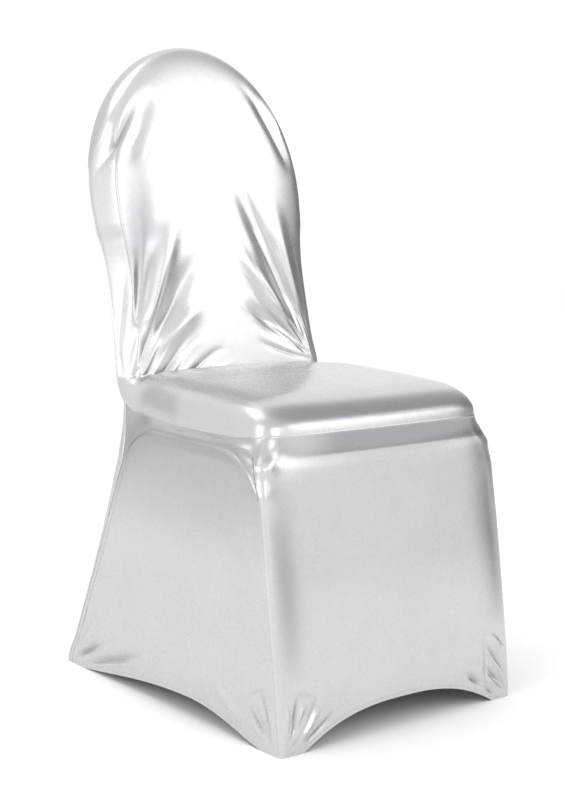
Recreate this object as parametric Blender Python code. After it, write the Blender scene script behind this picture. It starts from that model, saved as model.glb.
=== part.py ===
"""Stretch cover for a round-backed banquet chair, as the cloth stands when the chair is inside it.

Metres, +Z up, the chair faces -Y, origin on the floor in the middle of the footprint.
The outside of the whole cover is one welded surface. It is laid out as grids that meet at the
seams, then it is cut along the seams into the panels that a maker sews, and each panel gets the
thickness of the cloth.
"""

import math

import bmesh
import bpy
import numpy as np
from mathutils import Vector

# Cloth
CLOTH = 0.0015
SEAM_PULL = 0.00025
PANEL_COLOUR = (0.78, 0.78, 0.79)

# Backrest, a leaning pad with a round top
LEAN = math.radians(10.5)
BACK_HALF = 0.024
BACK_CROWN = 0.006
WIDEST_AT = 0.306
BACK_TOP = 0.533
BACK_EDGE = 12
REAR_ROUND = 5
REAR_SHARE = 0.9
# Half width of the pad, and how far its seam lies behind the middle of its thickness, by distance up
BACK_SIZES = {
    "up": (0.041, 0.086, 0.12, 0.165, 0.20, 0.236, 0.266, 0.306, 0.42, 0.533),
    "half": (0.181, 0.1765, 0.1755, 0.175, 0.1755, 0.179, 0.184, 0.186, 0.186, 0.186),
    "behind": (0.0, 0.003, 0.0055, 0.0085, 0.0105, 0.0125, 0.014, 0.0155, 0.014, 0.009),
}

# Seat, a low pad with round front corners
CORNER_Y = 0.1355
SEAM_Z = 0.400
JOIN_RADIUS = 0.050
SEAT_FRONT = -0.2285
SEAT_ROUND = 0.19
SEAT_ROUNDNESS = 10
SEAT_BOW = 0.008
SEAT_CROWN = 0.004
SEAT_EDGE = 12
# Half width, height of the pad above its seam and drop of the seam, by Y, front first
SEAT_SIZES = {
    "y": (-0.2285, -0.16, -0.0385, 0.02, 0.09),
    "half": (0.198, 0.198, 0.198, 0.191, 0.181),
    "rise": (0.032, 0.0485, 0.0555, 0.057, 0.052),
    "drop": (0.0035, 0.009, 0.0085, 0.0065, 0.0035),
}

# Skirt: plan sizes by height. Its front corners stand on the front legs, its rear ones on the rear legs
LEGS = {
    "z": (0.0, 0.05, 0.10, 0.20, 0.30, 0.33, 0.355, 0.375, 0.41),
    "front_half": (0.2055, 0.206, 0.2062, 0.2067, 0.2075, 0.209, 0.2095, 0.2045, 0.198),
    "front_y": (-0.269, -0.2655, -0.260, -0.2475, -0.2335, -0.2285, -0.222, -0.215, -0.213),
    "corner": (0.010, 0.010, 0.010, 0.011, 0.014, 0.018, 0.024, 0.032, 0.040),
    "front_bow": (0.0, 0.0, 0.001, 0.003, 0.005, 0.006, 0.008, 0.010, 0.010),
    "rear_half": (0.203, 0.202, 0.201, 0.199, 0.196, 0.193, 0.188, 0.184, 0.181),
    "rear_y": (0.258, 0.234, 0.2105, 0.1635, 0.1215, 0.1115, 0.1125, 0.1165, 0.119),
    "rear_middle": (0.269, 0.249, 0.229, 0.192, 0.162, 0.157, 0.156, 0.157, 0.161),
}
REAR_EDGE = 9

# Front of the skirt just below the seat seam: it tucks in under the pad, then comes out at the knees
TUCK = 0.010
TUCK_LEVELS = (0.350, 0.371, 0.401)
TUCK_LIFT = 0.006

# Arch seam of the side panel, seen from the side
ARCH_TOP = 0.376
ARCH_FRONT = {"set_in": 0.006, "z": 0.315, "run": 0.088}
ARCH_REAR = {"set_in": 0.0095, "z": 0.330, "run": 0.080}
ARCH_POWER = 2.1
SIDE_HOLLOW = 0.009

# Hem: it rises between the feet
HEM_FRONT = 0.040
HEM_SIDE = 0.027
HEM_REAR = 0.036
HEM_SIDE_PEAK = -0.065
FOOT = 0.036

# Foot caps
CAP_HEIGHT = {"front": 0.080, "rear": 0.050}
CAP_REACH = 0.034
CAP_DEPTH = 0.048
CAP_BEND = 0.008
CAP_GAP = {"front": 0.0009, "rear": 0.0018}
CAP_TAPER = 0.04
SOLE_BEND = 0.002
LINING = 1.4

# Grid counts
ACROSS = 32
ROWS_TOP, ROWS_BACK, ROWS_JOIN, ROWS_SEAT, ROWS_FRONT = 7, 18, 5, 5, 6
JOIN_SPLIT = 3
BAND_STEPS = (0.0, 0.12, 0.22, 0.31, 0.41, 0.62, 1.0)
ROWS_SKIRT = 8
LEG_COLUMNS = 1
EDGE_CROWDING = 0.72

# Pulled folds on the inner back, seen from the front: they fan out from the two ends of the join.
# Each row: angle from level, reach, half width at its far end, height (below zero is a trough)
FAN_LEFT = {"x": -0.158, "z": 0.452}
FAN_RIGHT = {"x": 0.158, "z": 0.462}
FOLDS_LEFT = {
    "angle": (80, 68, 54, 38),
    "reach": (0.23, 0.27, 0.22, 0.16),
    "half": (0.015, 0.017, 0.016, 0.015),
    "height": (-0.004, 0.006, -0.005, 0.005),
}
FOLDS_RIGHT = {
    "angle": (101, 113, 127, 148),
    "reach": (0.26, 0.32, 0.24, 0.15),
    "half": (0.016, 0.018, 0.016, 0.014),
    "height": (0.004, -0.006, 0.005, -0.005),
}
# Folds that run in from the rim at the shoulders: centre, angle, half length, half width, height
FOLDS_SHOULDER = {
    "x": (-0.118, 0.135),
    "z": (0.795, 0.800),
    "angle": (64, 118),
    "half_long": (0.075, 0.080),
    "half": (0.013, 0.013),
    "height": (-0.006, -0.005),
}


def read(table, column, at, key="z"):
    """Smooth values of one column of a table, at any place along its key column."""
    x = np.asarray(table[key], float)
    y = np.asarray(table[column], float)
    at = np.clip(np.asarray(at, float), x[0], x[-1])
    step = np.diff(x)
    slope = np.diff(y) / step
    tangent = np.zeros_like(y)
    same = slope[:-1] * slope[1:] > 0
    mean = 2 * slope[:-1] * slope[1:] / np.where(same, slope[:-1] + slope[1:], 1)
    tangent[1:-1] = np.where(same, mean, 0)
    i = np.clip(np.searchsorted(x, at, side="right") - 1, 0, len(step) - 1)
    t = (at - x[i]) / step[i]
    a, b = y[i], y[i + 1]
    ta, tb = tangent[i] * step[i], tangent[i + 1] * step[i]
    ends = ((2 * t - 3) * t * t + 1) * a + (3 - 2 * t) * t * t * b
    return ends + ((t - 2) * t + 1) * t * ta + (t - 1) * t * t * tb


def ease(value, low, high):
    """0 below low, 1 above high, and smooth between."""
    t = np.clip((value - low) / (high - low), 0, 1)
    return t * t * (3 - 2 * t)


def crowded(count, start=-1.0):
    """Steps from start to 1, closer together towards each end that is at -1 or 1."""
    u = np.linspace(start, 1, count + 1)
    return (1 - EDGE_CROWDING) * u + EDGE_CROWDING * np.sin(u * math.pi / 2)


def rounded(a, b, power):
    """Moves a point of a square onto a shape with round corners, and says how near its rim the point is."""
    x = a * (1 - np.abs(b) ** power / 2) ** (1 / power)
    y = b * (1 - np.abs(a) ** power / 2) ** (1 / power)
    return x, y, (np.abs(x) ** power + np.abs(y) ** power) ** (1 / power)


TURN = math.pi / 2 - LEAN
JOIN_START = JOIN_RADIUS * math.tan(TURN / 2)
UP_BACK = np.array([math.sin(LEAN), math.cos(LEAN)])
OUT_BACK = np.array([-math.cos(LEAN), math.sin(LEAN)])


def pad_rows():
    """Rows of the seat and back panel from top edge to front seam: part of the pad, and place in it."""
    rows = []
    for b in crowded(ROWS_TOP, 0.0)[::-1]:
        rows.append(("top", b))
    for up in np.linspace(WIDEST_AT, JOIN_START, ROWS_BACK + 1)[1:]:
        rows.append(("back", up))
    for turn in np.linspace(0, TURN, ROWS_JOIN + 1)[1:]:
        rows.append(("join", turn))
    seat_start = CORNER_Y - JOIN_START
    for y in np.linspace(seat_start, SEAT_FRONT + SEAT_ROUND, ROWS_SEAT + 1)[1:]:
        rows.append(("seat", y))
    for b in crowded(ROWS_FRONT, 0.0)[1:]:
        rows.append(("front", b))
    return rows


def pad_point(kind, value, a):
    """One row of the seat and back panel, and the row of the rear panel behind it."""
    corner = np.array([CORNER_Y, SEAM_Z])
    rear = None
    if kind in ("top", "back"):
        if kind == "top":
            x, q, rim = rounded(a, np.full_like(a, value), 2)
            up = WIDEST_AT + (BACK_TOP - WIDEST_AT) * q
        else:
            x, rim = a, np.abs(a)
            up = np.full_like(a, value)
        half, behind = read(BACK_SIZES, "half", up, "up"), read(BACK_SIZES, "behind", up, "up")
        sheet = corner + up[:, None] * UP_BACK - behind[:, None] * OUT_BACK
        out = np.tile(OUT_BACK, (len(a), 1))
        rise, crown, edge = BACK_HALF + behind, BACK_CROWN, BACK_EDGE
    elif kind == "join":
        share = value / TURN
        x, rim = a, np.abs(a)
        half = (1 - share) * BACK_SIZES["half"][0] + share * SEAT_SIZES["half"][-1]
        way = np.array([-math.cos(LEAN + value), math.sin(LEAN + value)])
        centre = corner + JOIN_START * UP_BACK + JOIN_RADIUS * OUT_BACK
        drop = [0, SEAT_SIZES["drop"][-1] * ease(share, 0.3, 1)]
        sheet = np.tile(centre - JOIN_RADIUS * way - drop, (len(a), 1))
        out = np.tile(way, (len(a), 1))
        soft = ease(share, 0, 1)
        rise = BACK_HALF + (SEAT_SIZES["rise"][-1] - BACK_HALF) * soft
        crown, edge = BACK_CROWN + (SEAT_CROWN - BACK_CROWN) * soft, BACK_EDGE
    else:
        start = SEAT_FRONT + SEAT_ROUND
        if kind == "seat":
            x, rim, y = a, np.abs(a), np.full_like(a, value)
        else:
            x, q, rim = rounded(a, np.full_like(a, value), SEAT_ROUNDNESS)
            y = start - q * (SEAT_ROUND - SEAT_BOW * x * x)
        half = read(SEAT_SIZES, "half", y, "y")
        sheet = np.stack([y, SEAM_Z - read(SEAT_SIZES, "drop", y, "y")], 1)
        out = np.tile([0.0, 1.0], (len(a), 1))
        rise, crown, edge = read(SEAT_SIZES, "rise", y, "y"), SEAT_CROWN, SEAT_EDGE
    rim = np.clip(rim, 0, 1)
    lift = rise * np.sqrt(1 - rim**edge) + crown * (1 - rim**2)
    front = np.column_stack([x * half, sheet + out * lift[:, None]])
    if kind in ("top", "back"):
        front[:, 1:] += out * (folds(front[:, 0], front[:, 2]) * (1 - rim**10))[:, None]
        depth = (BACK_HALF - REAR_SHARE * behind) * np.sqrt(1 - rim**REAR_ROUND)
        rear = np.column_stack([x * half, sheet - out * depth[:, None]])
    elif kind == "join":
        middle = CORNER_Y + (sheet[:, 1] - SEAM_Z) * math.tan(LEAN) + BACK_HALF / math.cos(LEAN)
        y = sheet[:, 0] + (middle - sheet[:, 0]) * np.sqrt(1 - rim**REAR_ROUND)
        rear = np.column_stack([x * half, y, sheet[:, 1]])
    return front, rear


def folds(x, z):
    """Height of the pulled folds of the inner back at a place seen from the front."""
    total = np.zeros_like(x)
    for fan, table in ((FAN_LEFT, FOLDS_LEFT), (FAN_RIGHT, FOLDS_RIGHT)):
        away = np.hypot(x - fan["x"], z - fan["z"])
        turn = np.arctan2(z - fan["z"], x - fan["x"])
        for angle, reach, half, height in zip(*table.values()):
            across = away * np.sin(np.clip(turn - math.radians(angle), -1.5, 1.5))
            width = half * (0.6 + 0.4 * np.clip(away / reach, 0, 1))
            along = ease(away, 0.03, 0.10) * (1 - ease(away, 0.6 * reach, reach))
            total += height * np.exp(-((across / width) ** 2)) * along
    for x0, z0, angle, half_long, half, height in zip(*FOLDS_SHOULDER.values()):
        c, s = math.cos(math.radians(angle)), math.sin(math.radians(angle))
        along = (x - x0) * c + (z - z0) * s
        across = (z - z0) * c - (x - x0) * s
        total += height * np.exp(-((across / half) ** 2)) * (1 - ease(np.abs(along), 0.4 * half_long, half_long))
    return total


def pad_grids():
    """The seat and back panel as a grid, and the rear panel down to the ends of the seat seam."""
    a = crowded(ACROSS)
    made = [pad_point(kind, value, a) for kind, value in pad_rows()]
    last = ROWS_TOP + ROWS_BACK + JOIN_SPLIT
    return np.array([m[0] for m in made]), np.array([m[1] for m in made[: last + 1]])


def legs(name, z):
    return read(LEGS, name, z)


def front_plan(a, z):
    """Outside of the skirt across the front, from the middle of one round corner to the other."""
    half, corner = legs("front_half", z), legs("corner", z)
    straight = half - corner
    run = np.abs(a) * (straight + corner * math.pi / 4)
    turn = np.clip(run - straight, 0, None) / corner
    x = np.minimum(run, straight) + corner * np.sin(turn)
    y = legs("front_y", z) + corner * (1 - np.cos(turn)) - legs("front_bow", z) * (1 - (x / half) ** 2)
    low, deep, high = TUCK_LEVELS
    level = z - TUCK_LIFT * a**4
    tuck = TUCK * ease(level, low, deep) * (1 - ease(level, deep, high)) * (1 - np.abs(a) ** 6)
    return np.stack([np.sign(a) * x, y + tuck, z], -1)


def rear_plan(a, z):
    """Outside of the skirt across the rear."""
    y = legs("rear_y", z) + (legs("rear_middle", z) - legs("rear_y", z)) * np.sqrt(1 - np.abs(a) ** REAR_EDGE)
    return np.stack([a * legs("rear_half", z), y, z], -1)


def side_x(y, z):
    """Half width of the skirt's side, and of the round front corner that it grows from."""
    half, corner = legs("front_half", z), legs("corner", z)
    start = legs("front_y", z) + corner
    line = half + (legs("rear_half", z) - half) * np.clip((y - start) / (legs("rear_y", z) - start), 0, 1)
    inside = np.clip(start - y, 0, corner)
    return line - corner + np.sqrt(corner**2 - inside**2)


def side_edges(z):
    """Y of the two edges of the side panel at a height."""
    return legs("front_y", z) + ARCH_FRONT["set_in"], legs("rear_y", z) - ARCH_REAR["set_in"]


def arch(y):
    """Height of the arch seam by Y."""
    ends = side_edges(np.array(ARCH_FRONT["z"]))[0], side_edges(np.array(ARCH_REAR["z"]))[1]
    up = np.full_like(y, ARCH_TOP)
    for end, sign, part in ((ends[0], 1, ARCH_FRONT), (ends[1], -1, ARCH_REAR)):
        left = np.clip(1 - sign * (y - end) / part["run"], 0, 1)
        up -= (ARCH_TOP - part["z"]) * (1 - (1 - left**ARCH_POWER) ** (1 / ARCH_POWER))
    return up


def hem_across(x, half, height):
    return height * np.clip(1 - np.abs(x / (half - FOOT)) ** 2.6, 0, None)


def hem_side(y):
    ends = LEGS["front_y"][0] + FOOT, LEGS["rear_y"][0] - FOOT
    span = np.where(y < HEM_SIDE_PEAK, HEM_SIDE_PEAK - ends[0], ends[1] - HEM_SIDE_PEAK)
    return HEM_SIDE * np.clip(1 - ((y - HEM_SIDE_PEAK) / span) ** 2, 0, None) ** 1.5


def skirt_across(top, plan, level, hem):
    """Front or rear of the skirt: down from the row above it to a level, then on to the hem."""
    a = crowded(ACROSS)
    fix = top - plan(a, top[:, 2])
    rows = []
    for step in BAND_STEPS:
        z = top[:, 2] + (level - top[:, 2]) * step
        rows.append(plan(a, z) + fix * (1 - ease(step, 0, 0.8)) * [1, 1, 0])
    for step in np.linspace(0, 1, ROWS_SKIRT + 1)[1:]:
        rows.append(plan(a, level + (hem(a) - level) * step))
    return np.array(rows)


def skirt_side(top, front_edge, rear_edge):
    """Right side of the skirt, between the edges of the front and the rear."""
    count = len(top) - 1
    share = np.concatenate([[0], 0.5 + 0.5 * crowded(count - 2), [1]])
    low, high = side_edges(np.array(ARCH_FRONT["z"]))[0], side_edges(np.array(ARCH_REAR["z"]))[1]
    arch_y = low + share * (high - low)
    arch_z = arch(arch_y)
    floor = side_edges(np.array(0.0))
    hem_z = hem_side(floor[0] + share * (floor[1] - floor[0]))
    rows = []
    for step in BAND_STEPS:
        y, z = top[:, 1] + (arch_y - top[:, 1]) * step, top[:, 2] + (arch_z - top[:, 2]) * step
        fix = (top[:, 0] - side_x(top[:, 1], top[:, 2])) * (1 - ease(step, 0, 0.8))
        rows.append(np.stack([side_x(y, z) + fix, y, z], -1))
    for step in np.linspace(0, 1, ROWS_SKIRT + 1)[1:]:
        z = arch_z + (hem_z - arch_z) * step
        near, far = side_edges(z)
        y = near + share * (far - near)
        hollow = SIDE_HOLLOW * (1 - (2 * share - 1) ** 4) * ease(step, 0, 0.25) * (1 - ease(step, 0.45, 1))
        rows.append(np.stack([side_x(y, z) - hollow, y, z], -1))
    rows = np.array(rows)
    rows[:, 0], rows[:, -1] = front_edge, rear_edge
    return rows


def cover_surface():
    """Outside of the whole cover: grids, each with the panel names of its faces and the way they wind."""
    pad, rear_pad = pad_grids()
    last = len(rear_pad) - 1
    half = LEGS["front_half"][0]
    front = skirt_across(pad[-1], front_plan, ARCH_FRONT["z"], lambda a: hem_across(a * half, half, HEM_FRONT))
    rear = skirt_across(rear_pad[-1], rear_plan, ARCH_REAR["z"], lambda a: hem_across(a * half, half, HEM_REAR))
    right = skirt_side(pad[last:, -1][::-1], front[:, -1], rear[:, -1])
    left = right * [-1, 1, 1]
    left[:, 0], left[:, -1], left[0] = front[:, 0], rear[:, 0], pad[last:, 0][::-1]
    band = len(BAND_STEPS) - 1

    def side_names(name):
        def named(row, column):
            inside = row >= band and LEG_COLUMNS <= column < right.shape[1] - 1 - LEG_COLUMNS
            return name if inside else "skirt"
        return named

    return (
        (pad, lambda row, column: "seat_back_panel", False),
        (rear_pad, lambda row, column: "outer_back_panel", True),
        (front, lambda row, column: "skirt", False),
        (rear, lambda row, column: "outer_back_panel", True),
        (right, side_names("side_panel_right"), False),
        (left, side_names("side_panel_left"), True),
    )


def weld(grids):
    """One list of points and of named quads for grids that share edges."""
    points, index, quads = [], {}, []
    for grid, name_at, turned in grids:
        ids = np.empty(grid.shape[:2], int)
        for place in np.ndindex(*grid.shape[:2]):
            key = tuple(np.round(grid[place], 6) + 0.0)
            if key not in index:
                index[key] = len(points)
                points.append(grid[place])
            ids[place] = index[key]
        for r, c in np.ndindex(grid.shape[0] - 1, grid.shape[1] - 1):
            quad = [ids[r, c], ids[r + 1, c], ids[r + 1, c + 1], ids[r, c + 1]]
            first = 1 if grid.shape[1] == ACROSS + 1 and c < ACROSS // 2 else 0
            quad = quad[first:] + quad[:first]
            quads.append((name_at(r, c), quad[:1] + quad[:0:-1] if turned else quad))
    return np.array(points), quads


def face_normals(points, quads):
    q = points[np.array(quads)]
    n = np.cross(q[:, 2] - q[:, 0], q[:, 3] - q[:, 1])
    return n / np.linalg.norm(n, axis=1)[:, None]


def inner_offsets(points, quads):
    """Step from each outer point to its inner one, mitred where the surface turns."""
    faces = np.array([q for _, q in quads])
    normals = face_normals(points, faces)
    total = np.zeros_like(points)
    for corner in range(4):
        np.add.at(total, faces[:, corner], normals)
    way = total / np.linalg.norm(total, axis=1)[:, None]
    lean = np.ones(len(points))
    for corner in range(4):
        np.minimum.at(lean, faces[:, corner], np.einsum("ij,ij->i", way[faces[:, corner]], normals))
    return -way * (CLOTH / np.clip(lean, 0.75, 1))[:, None]


def panel_solid(points, offsets, own, shared):
    """A closed body of cloth from its outer quads, pulled back a little along every seam."""
    ids = sorted({i for q in own for i in q})
    place = {old: new for new, old in enumerate(ids)}
    normals = face_normals(points, own)
    edges = {}
    for face, quad in enumerate(own):
        for k in range(4):
            edges[(quad[k], quad[(k + 1) % 4])] = face
    rim = [(edge, face) for edge, face in edges.items() if edge[::-1] not in edges]
    pull = {}
    for (i, j), face in rim:
        if frozenset((i, j)) in shared:
            along = points[j] - points[i]
            inward = np.cross(normals[face], along)
            inward /= np.linalg.norm(inward)
            for v in (i, j):
                pull.setdefault(v, []).append(inward)
    outer = points[ids].copy()
    for v, ways in pull.items():
        mean = np.mean(ways, axis=0)
        outer[place[v]] += mean * SEAM_PULL / max(np.dot(mean, mean), 0.4)
    inner = outer + offsets[ids]
    count = len(ids)
    halves = [[place[q[i]] for i in corners] for q in own for corners in ((0, 1, 2), (0, 2, 3))]
    faces = halves + [[i + count for i in reversed(half)] for half in halves]
    faces += [[place[j], place[i], place[i] + count, place[j] + count] for (i, j), _ in rim]
    return np.concatenate([outer, inner]), faces


def corner_line(z, rear):
    """Outside of the skirt round one right-hand corner at a height, as X and Y, ending on the side."""
    level = np.full(9, z)
    if rear:
        half = float(legs("rear_half", z))
        a = 1 - (1 - np.sin(np.linspace(0, math.pi / 2, 9))) * CAP_REACH / half
        across = rear_plan(a, level)[:, :2]
        y = across[-1, 1] - np.linspace(0, 1, 5)[1:] * (CAP_DEPTH - (across[0, 1] - across[-1, 1]))
    else:
        half, corner = float(legs("front_half", z)), float(legs("corner", z))
        length = half - corner + corner * math.pi / 4
        a = 1 - (1 - np.sin(np.linspace(0, math.pi / 2, 9))) * CAP_REACH / length
        across = front_plan(a, level)[:, :2]
        y = across[-1, 1] + (np.linspace(0, 1, 9)[1:] ** 1.6) * CAP_REACH
    side = np.stack([side_x(y, np.full_like(y, z)), y], 1)
    return np.concatenate([across, side])


def cap_ring(z, rear, inset):
    """Outline of a foot cap at a height: the skirt's corner moved in, closed by two straight sides."""
    line = corner_line(z, rear)
    along = np.gradient(line, axis=0)
    along /= np.linalg.norm(along, axis=1)[:, None]
    way = np.stack([-along[:, 1], along[:, 0]], 1) * (-1 if rear else 1)
    line = line + way * inset
    inside = np.array([line[0, 0], line[-1, 1]])
    toward = [line[-1], line[0]]
    close = [inside + (p - inside) / np.linalg.norm(p - inside) * CAP_BEND for p in toward]
    return np.concatenate([line, [close[0], close[1]]])


def lined(ring, depth):
    """A ring of a foot cap with the two straight sides that close it moved in by a depth."""
    ring = ring.copy()
    middle = (ring[0] + ring[-3]) / 2
    for n in (0, -3, -2, -1):
        toward = middle - ring[n]
        ring[n] += toward / np.linalg.norm(toward) * depth * LINING
    return ring


def foot_cap(rear, left):
    """A cup of cloth for one foot: a flat sole with a rounded foot to its wall, open on top."""
    end = "rear" if rear else "front"
    skirt_row = (ARCH_REAR if rear else ARCH_FRONT)["z"] / ROWS_SKIRT
    levels = (0.0, skirt_row, CAP_HEIGHT[end])
    inset = CLOTH + CAP_GAP[end]

    def ring_at(z, depth, height):
        ring = cap_ring(z, rear, inset + depth + CAP_TAPER * z)
        ring = lined(ring, depth) if depth else ring
        return np.column_stack([ring, np.full(len(ring), height)])

    outer = [ring_at(z, 0, z) for z in levels]
    inner = [ring_at(z, CLOTH, z) for z in levels]
    bend_top = inner[0] + (inner[1] - inner[0]) * (CLOTH + SOLE_BEND) / skirt_row
    sole = ring_at(0.0, CLOTH + SOLE_BEND, CLOTH)
    rings = outer + inner[:0:-1] + [bend_top, sole]
    count = len(sole)
    points = np.concatenate(rings) * [-1 if left else 1, 1, 1]
    faces = []
    for k in range(len(rings) - 1):
        for n in range(count):
            m = (n + 1) % count
            faces.append([k * count + n, k * count + m, (k + 1) * count + m, (k + 1) * count + n])
    faces.append(list(range(count))[::-1])
    faces.append([(len(rings) - 1) * count + n for n in range(count)])
    return points, faces


def add_body(collection, name, points, faces, material):
    mesh = bpy.data.meshes.new(name)
    mesh.from_pydata([Vector(p) for p in points], [], [[int(i) for i in f] for f in faces])
    form = bmesh.new()
    form.from_mesh(mesh)
    bmesh.ops.recalc_face_normals(form, faces=form.faces)
    form.to_mesh(mesh)
    form.free()
    mesh.materials.append(material)
    for polygon in mesh.polygons:
        polygon.use_smooth = True
    body = bpy.data.objects.new(name, mesh)
    collection.objects.link(body)
    return body


def cloth_material(name):
    material = bpy.data.materials.new(name)
    material.use_nodes = True
    shader = material.node_tree.nodes["Principled BSDF"]
    shader.inputs["Base Color"].default_value = (*PANEL_COLOUR, 1)
    shader.inputs["Metallic"].default_value = 0.35
    shader.inputs["Roughness"].default_value = 0.38
    return material


for old in list(bpy.data.objects):
    bpy.data.objects.remove(old)

cover = bpy.data.collections.new("chair_cover")
bpy.context.scene.collection.children.link(cover)

surface, named_quads = weld(cover_surface())
steps_in = inner_offsets(surface, named_quads)
panel_names = ("seat_back_panel", "outer_back_panel", "skirt", "side_panel_left", "side_panel_right")
seen, seams = {}, set()
for panel_name, quad in named_quads:
    for k in range(4):
        edge = frozenset((quad[k], quad[(k + 1) % 4]))
        if seen.setdefault(edge, panel_name) != panel_name:
            seams.add(edge)
for panel_name in panel_names:
    own_quads = [quad for name, quad in named_quads if name == panel_name]
    body_points, body_faces = panel_solid(surface, steps_in, own_quads, seams)
    add_body(cover, panel_name, body_points, body_faces, cloth_material(panel_name))

for end in ("front", "rear"):
    for side in ("left", "right"):
        cap_name = f"foot_cap_{end}_{side}"
        cap_points, cap_faces = foot_cap(end == "rear", side == "left")
        add_body(cover, cap_name, cap_points, cap_faces, cloth_material(cap_name))
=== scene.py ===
"""Looks of a silver stretch cover for a round-backed banquet chair, as it stands on the chair it fits."""

import math

import bmesh
import bpy
import numpy as np
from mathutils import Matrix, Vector
from mathutils.kdtree import KDTree


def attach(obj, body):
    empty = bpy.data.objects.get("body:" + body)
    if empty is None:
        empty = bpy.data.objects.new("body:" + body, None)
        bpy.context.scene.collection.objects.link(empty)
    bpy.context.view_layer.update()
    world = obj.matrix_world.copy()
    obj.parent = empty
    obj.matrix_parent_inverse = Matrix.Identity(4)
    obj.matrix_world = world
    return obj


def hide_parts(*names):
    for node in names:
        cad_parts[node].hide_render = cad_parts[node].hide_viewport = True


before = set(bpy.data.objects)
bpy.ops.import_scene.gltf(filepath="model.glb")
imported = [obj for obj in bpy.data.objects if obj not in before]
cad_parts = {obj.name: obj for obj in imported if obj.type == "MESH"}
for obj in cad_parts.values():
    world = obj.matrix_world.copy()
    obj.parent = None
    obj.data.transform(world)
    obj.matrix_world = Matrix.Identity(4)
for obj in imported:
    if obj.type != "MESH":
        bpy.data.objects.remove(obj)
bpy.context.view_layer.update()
bpy.ops.object.select_all(action="DESELECT")


# ---------------------------------------------------------------- The cloth
# Polyester and elastane knit with a silver-white foil coat pressed on. The coat gives soft
# mirror-like lights that follow every fold, and the knit under it breaks them up a little.

MM = 0.001
KNIT_PITCH = 1.6 * MM  # the real wales are 0.6 mm apart, drawn coarser so that they show
KNIT_DEEP = 0.1 * MM
PULLS_PER_M, PULLS_DEEP = 60.0, 0.3 * MM  # small unevenness of the stretched knit, about 17 mm apart
WORN_PER_M = 9.0  # patches where the coat is stretched thin, about 11 cm apart
RELIEF = 0.02  # share of these depths that shows: the cloth is pulled almost smooth
FOIL = "#CACACC"
FOIL_WORN = "#C4C4C7"
# painted shade: the greyer colour that stands in for shade in folds, tucks and under the seat
FOIL_IN_PAINTED_SHADE = "#97989C"
MOST_WORN = 0.55
FOIL_METALLIC = 0.86
FOIL_GLOSSY, FOIL_DULL = 0.25, 0.31  # roughness of the coat, from its smoothest to its most pulled


def linear(code):
    """Linear colour from sRGB hex."""
    parts = [int(code[i : i + 2], 16) / 255 for i in (1, 3, 5)]
    return tuple(p / 12.92 if p <= 0.04045 else ((p + 0.055) / 1.055) ** 2.4 for p in parts) + (1.0,)


def add_node(tree, kind, settings=None, values=None, links=None):
    """A node with its settings, its socket values and the outputs that feed it."""
    node = tree.nodes.new(kind)
    for name, value in (settings or {}).items():
        setattr(node, name, value)
    for name, value in (values or {}).items():
        node.inputs[name].default_value = value
    for name, source in (links or {}).items():
        tree.links.new(source, node.inputs[name])
    return node


def foil_coated_knit(name):
    """Foil-coated stretch knit: semi-gloss, a little rougher where the knit is pulled, and darkened with painted
    shade in creases and tucks.
    """
    material = bpy.data.materials.new(name)
    material.use_nodes = True
    tree = material.node_tree
    shader = tree.nodes["Principled BSDF"]
    place = add_node(tree, "ShaderNodeTexCoord").outputs["Object"]
    knit = add_node(
        tree,
        "ShaderNodeTexVoronoi",
        {"feature": "SMOOTH_F1"},
        {"Scale": 1 / KNIT_PITCH, "Smoothness": 0.6},
        {"Vector": place},
    )
    pulls = add_node(
        tree, "ShaderNodeTexNoise", None, {"Scale": PULLS_PER_M, "Detail": 2.0, "Roughness": 0.5}, {"Vector": place}
    )
    patches = add_node(
        tree, "ShaderNodeTexNoise", None, {"Scale": WORN_PER_M, "Detail": 3.0, "Roughness": 0.55}, {"Vector": place}
    )
    wear = add_node(
        tree,
        "ShaderNodeMapRange",
        None,
        {"From Min": 0.42, "From Max": 0.68, "To Min": 0.0, "To Max": MOST_WORN},
        {"Value": patches.outputs["Fac"]},
    )
    worn = add_node(
        tree,
        "ShaderNodeMix",
        {"data_type": "RGBA"},
        {"A": linear(FOIL), "B": linear(FOIL_WORN)},
        {"Factor": wear.outputs["Result"]},
    )
    # Painted shade: how dark each point of a sheet is painted, in its folds, tucks and grooves and under the seat
    depth = add_node(tree, "ShaderNodeAttribute", {"attribute_name": "painted_fold_shade"})
    colour = add_node(
        tree,
        "ShaderNodeMix",
        {"data_type": "RGBA"},
        {"B": linear(FOIL_IN_PAINTED_SHADE)},
        {"A": worn.outputs[2], "Factor": depth.outputs["Fac"]},
    )
    dull = add_node(
        tree,
        "ShaderNodeMapRange",
        None,
        {"From Min": 0.3, "From Max": 0.75, "To Min": FOIL_GLOSSY, "To Max": FOIL_DULL},
        {"Value": pulls.outputs["Fac"]},
    )
    soft_bump = add_node(
        tree, "ShaderNodeBump", None, {"Strength": RELIEF, "Distance": PULLS_DEEP}, {"Height": pulls.outputs["Fac"]}
    )
    knit_bump = add_node(
        tree,
        "ShaderNodeBump",
        None,
        {"Strength": RELIEF, "Distance": KNIT_DEEP},
        {"Height": knit.outputs["Distance"], "Normal": soft_bump.outputs["Normal"]},
    )
    tree.links.new(colour.outputs[2], shader.inputs["Base Color"])
    tree.links.new(dull.outputs["Result"], shader.inputs["Roughness"])
    tree.links.new(knit_bump.outputs["Normal"], shader.inputs["Normal"])
    shader.inputs["Metallic"].default_value = FOIL_METALLIC
    shader.inputs["Sheen Weight"].default_value = 0.05
    shader.inputs["Sheen Roughness"].default_value = 0.4
    return material


# ---------------------------------------------------------------- Seat and back panel
# One long piece of the knit, cut to run from the top of the backrest down to the crease and over
# the seat. It is sewn all round, and its pulled folds fan out from the two ends of the crease.

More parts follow.
